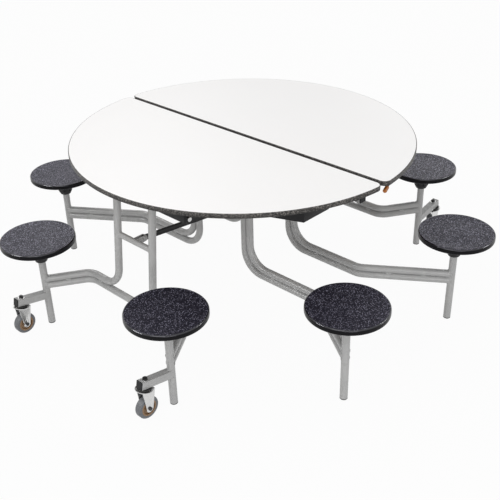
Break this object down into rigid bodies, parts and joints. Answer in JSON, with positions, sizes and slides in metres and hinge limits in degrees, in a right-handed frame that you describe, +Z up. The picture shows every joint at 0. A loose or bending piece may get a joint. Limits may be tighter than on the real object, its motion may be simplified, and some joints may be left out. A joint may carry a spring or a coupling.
{
  "type": "folding table with attached swivel seats",
  "caption": "Round folding table on casters, its top split at a centre seam, with round swivel seats carried all round by the table's own bent tube frame.",
  "frame": {"origin": "on the floor below the centre of the top", "axes": "+Z up, +Y along the seam, +X from the left half to the right half"},
  "size_m": [2.0182, 2.08, 0.749],
  "materials": {
    "white_laminate": "satin white laminate",
    "core_board": "pressed wood core, sealed below",
    "dark_edge": "dark speckled moulded edge",
    "grey_paint": "light grey powder coat on steel tube",
    "black_steel": "black powder coat on steel",
    "zinc": "bright zinc plate",
    "seat_plastic": "pebbled charcoal moulded plastic",
    "black_nylon": "black moulded nylon",
    "grey_tread": "grey rubber tread",
    "tan_hub": "tan moulded wheel core",
    "orange_vinyl": "orange dipped vinyl"
  },
  "bodies": {
    "end_frame_left": {"end_upper_tubes_left": "grey_paint", "end_lower_tube_left": "grey_paint", "end_cross_members_left": "grey_paint", "end_posts_left": "grey_paint", "caster_arms_left": "grey_paint", "end_plugs_left": "black_nylon", "caster_stems_left": "zinc"},
    "top_left": {"top_core_left": "core_board", "laminate_left": "white_laminate", "edge_band_left": "dark_edge", "centre_channels_left": "black_steel", "end_channel_left": "black_steel", "pivot_pins_left": "zinc", "seam_hinge_pins": "zinc", "latch_strike": "black_steel"},
    "centre_frame_left": {"centre_tubes_left": "grey_paint", "centre_cross_members_left": "grey_paint", "centre_posts_left": "grey_paint", "centre_glides_left": "black_nylon"},
    "fold_link_left": {"fold_link_left": "black_steel"},
    "end_frame_right": {"end_upper_tubes_right": "grey_paint", "end_lower_tube_right": "grey_paint", "end_cross_members_right": "grey_paint", "end_posts_right": "grey_paint", "caster_arms_right": "grey_paint", "end_plugs_right": "black_nylon", "caster_stems_right": "zinc"},
    "top_right": {"top_core_right": "core_board", "laminate_right": "white_laminate", "edge_band_right": "dark_edge", "centre_channels_right": "black_steel", "end_channel_right": "black_steel", "pivot_pins_right": "zinc"},
    "centre_frame_right": {"centre_tubes_right": "grey_paint", "centre_cross_members_right": "grey_paint", "centre_posts_right": "grey_paint", "centre_glides_right": "black_nylon"},
    "fold_link_right": {"fold_link_right": "black_steel"},
    "seat_1": {"seat_1": "seat_plastic"},
    "seat_2": {"seat_2": "seat_plastic"},
    "seat_3": {"seat_3": "seat_plastic"},
    "seat_4": {"seat_4": "seat_plastic"},
    "seat_5": {"seat_5": "seat_plastic"},
    "seat_6": {"seat_6": "seat_plastic"},
    "seat_7": {"seat_7": "seat_plastic"},
    "seat_8": {"seat_8": "seat_plastic"},
    "caster_1": {"caster_fork_1": "zinc"},
    "wheel_1": {"tyre_1": "grey_tread", "wheel_hub_1": "tan_hub"},
    "caster_2": {"caster_fork_2": "zinc"},
    "wheel_2": {"tyre_2": "grey_tread", "wheel_hub_2": "tan_hub"},
    "caster_3": {"caster_fork_3": "zinc"},
    "wheel_3": {"tyre_3": "grey_tread", "wheel_hub_3": "tan_hub"},
    "caster_4": {"caster_fork_4": "zinc"},
    "wheel_4": {"tyre_4": "grey_tread", "wheel_hub_4": "tan_hub"},
    "latch": {"latch_lever": "black_steel", "latch_grip": "orange_vinyl"}
  },
  "joints": [
    {"name": "fold", "type": "hinge", "parent": "end_frame_left", "child": "top_left", "pos_m": [-0.591, 0, 0.672], "axis": [0, -1, 0], "range_deg": [0, 90]},
    {"name": "centre_frame_left_pivot", "type": "hinge", "parent": "top_left", "child": "centre_frame_left", "pos_m": [-0.124, 0, 0.621], "axis": [0, -1, 0], "range_deg": [-90, 0]},
    {"name": "fold_link_left_pivot", "type": "hinge", "parent": "end_frame_left", "child": "fold_link_left", "pos_m": [-0.586, 0, 0.48], "axis": [0, -1, 0], "range_deg": [0, 90]},
    {"name": "seam_hinge", "type": "hinge", "parent": "top_left", "child": "top_right", "pos_m": [0, 0, 0.595], "axis": [0, 1, 0], "range_deg": [0, 180]},
    {"name": "centre_frame_right_pivot", "type": "hinge", "parent": "top_right", "child": "centre_frame_right", "pos_m": [0.124, 0, 0.621], "axis": [0, 1, 0], "range_deg": [-90, 0]},
    {"name": "end_frame_right_pivot", "type": "hinge", "parent": "top_right", "child": "end_frame_right", "pos_m": [0.591, 0, 0.672], "axis": [0, 1, 0], "range_deg": [-90, 0]},
    {"name": "fold_link_right_pivot", "type": "hinge", "parent": "end_frame_right", "child": "fold_link_right", "pos_m": [0.586, 0, 0.48], "axis": [0, 1, 0], "range_deg": [0, 90]},
    {"name": "seat_1_swivel", "type": "hinge", "parent": "centre_frame_left", "child": "seat_1", "pos_m": [-0.3685, 0.881, 0.38], "axis": [0, 0, 1], "continuous": true},
    {"name": "seat_2_swivel", "type": "hinge", "parent": "end_frame_left", "child": "seat_2", "pos_m": [-0.831, 0.4105, 0.38], "axis": [0, 0, 1], "continuous": true},
    {"name": "seat_3_swivel", "type": "hinge", "parent": "end_frame_left", "child": "seat_3", "pos_m": [-0.831, -0.4105, 0.38], "axis": [0, 0, 1], "continuous": true},
    {"name": "seat_4_swivel", "type": "hinge", "parent": "centre_frame_left", "child": "seat_4", "pos_m": [-0.3685, -0.881, 0.38], "axis": [0, 0, 1], "continuous": true},
    {"name": "seat_5_swivel", "type": "hinge", "parent": "centre_frame_right", "child": "seat_5", "pos_m": [0.3685, -0.881, 0.38], "axis": [0, 0, 1], "continuous": true},
    {"name": "seat_6_swivel", "type": "hinge", "parent": "end_frame_right", "child": "seat_6", "pos_m": [0.831, -0.4105, 0.38], "axis": [0, 0, 1], "continuous": true},
    {"name": "seat_7_swivel", "type": "hinge", "parent": "end_frame_right", "child": "seat_7", "pos_m": [0.831, 0.4105, 0.38], "axis": [0, 0, 1], "continuous": true},
    {"name": "seat_8_swivel", "type": "hinge", "parent": "centre_frame_right", "child": "seat_8", "pos_m": [0.3685, 0.881, 0.38], "axis": [0, 0, 1], "continuous": true},
    {"name": "caster_1_swivel", "type": "hinge", "parent": "end_frame_left", "child": "caster_1", "pos_m": [-0.96147, 0.4105, 0.17383], "axis": [0.1942, 0, 0.981], "continuous": true},
    {"name": "wheel_1_roll", "type": "hinge", "parent": "caster_1", "child": "wheel_1", "pos_m": [-0.96263, 0.4105, 0.06499], "axis": [0, 1, 0], "continuous": true},
    {"name": "caster_2_swivel", "type": "hinge", "parent": "end_frame_left", "child": "caster_2", "pos_m": [-0.96147, -0.4105, 0.17383], "axis": [0.1942, 0, 0.981], "continuous": true},
    {"name": "wheel_2_roll", "type": "hinge", "parent": "caster_2", "child": "wheel_2", "pos_m": [-0.96263, -0.4105, 0.06499], "axis": [0, 1, 0], "continuous": true},
    {"name": "caster_3_swivel", "type": "hinge", "parent": "end_frame_right", "child": "caster_3", "pos_m": [0.96147, 0.4105, 0.17383], "axis": [-0.1942, 0, 0.981], "continuous": true},
    {"name": "wheel_3_roll", "type": "hinge", "parent": "caster_3", "child": "wheel_3", "pos_m": [0.96263, 0.4105, 0.06499], "axis": [0, 1, 0], "continuous": true},
    {"name": "caster_4_swivel", "type": "hinge", "parent": "end_frame_right", "child": "caster_4", "pos_m": [0.96147, -0.4105, 0.17383], "axis": [-0.1942, 0, 0.981], "continuous": true},
    {"name": "wheel_4_roll", "type": "hinge", "parent": "caster_4", "child": "wheel_4", "pos_m": [0.96263, -0.4105, 0.06499], "axis": [0, 1, 0], "continuous": true},
    {"name": "latch_swing", "type": "hinge", "parent": "top_right", "child": "latch", "pos_m": [0.146, -0.702, 0.713], "axis": [0, 0, 1], "range_deg": [0, 30]}
  ],
  "couplings": [
    {"joint": "centre_frame_left_pivot", "follows": "fold", "ratio": -1},
    {"joint": "fold_link_left_pivot", "follows": "fold", "ratio": 1},
    {"joint": "seam_hinge", "follows": "fold", "ratio": 2},
    {"joint": "centre_frame_right_pivot", "follows": "fold", "ratio": -1},
    {"joint": "end_frame_right_pivot", "follows": "fold", "ratio": -1},
    {"joint": "fold_link_right_pivot", "follows": "fold", "ratio": 1}
  ]
}
